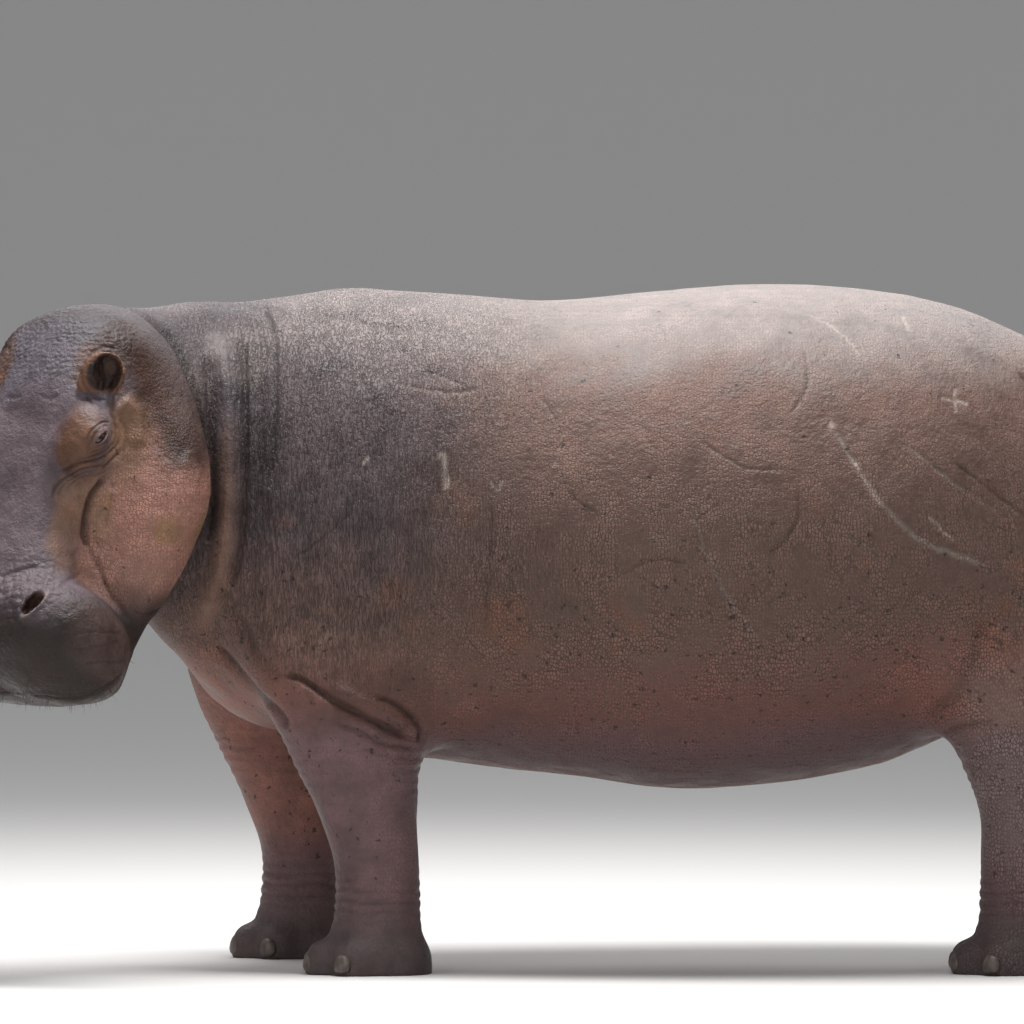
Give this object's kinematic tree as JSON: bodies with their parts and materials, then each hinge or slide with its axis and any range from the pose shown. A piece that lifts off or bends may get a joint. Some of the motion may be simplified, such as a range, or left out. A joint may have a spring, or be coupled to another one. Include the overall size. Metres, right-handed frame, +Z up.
{
  "type": "life-size hippopotamus model",
  "caption": "Still, life-size hippopotamus standing with its head lowered and turned to its left, mouth closed, tail hanging and all its feet flat on the floor.",
  "frame": {"origin": "on the floor, at the middle of the box that the animal fills", "axes": "+X towards the tail, so the animal faces -X; +Y to the animal's right; +Z up"},
  "size_m": [2.8301, 1.3609, 1.514],
  "materials": {
    "hide": "bare skin, wrinkled, grey-brown with a pinker belly",
    "face": "bare skin, pebbled, dark mauve-grey",
    "cheek": "bare skin, pink-tan with dark specks",
    "ear": "bare skin, dark brown hollow with a lighter rim",
    "eye": "wet, dark brown",
    "nail": "horn, dark grey-brown, slightly worn",
    "bristle": "stiff hair, dark brown"
  },
  "bodies": {
    "root": {"trunk": "hide", "neck": "hide", "tail": "hide", "head": "face", "jaw": "cheek", "ear_left": "ear", "eye_left": "eye", "ear_right": "ear", "eye_right": "eye", "foreleg_left": "hide", "forefoot_left": "hide", "forenail_left_1": "nail", "forenail_left_2": "nail", "forenail_left_3": "nail", "forenail_left_4": "nail", "foreleg_right": "hide", "forefoot_right": "hide", "forenail_right_1": "nail", "forenail_right_2": "nail", "forenail_right_3": "nail", "forenail_right_4": "nail", "hindleg_left": "hide", "hindfoot_left": "hide", "hindnail_left_1": "nail", "hindnail_left_2": "nail", "hindnail_left_3": "nail", "hindnail_left_4": "nail", "hindleg_right": "hide", "hindfoot_right": "hide", "hindnail_right_1": "nail", "hindnail_right_2": "nail", "hindnail_right_3": "nail", "hindnail_right_4": "nail"}
  },
  "joints": []
}
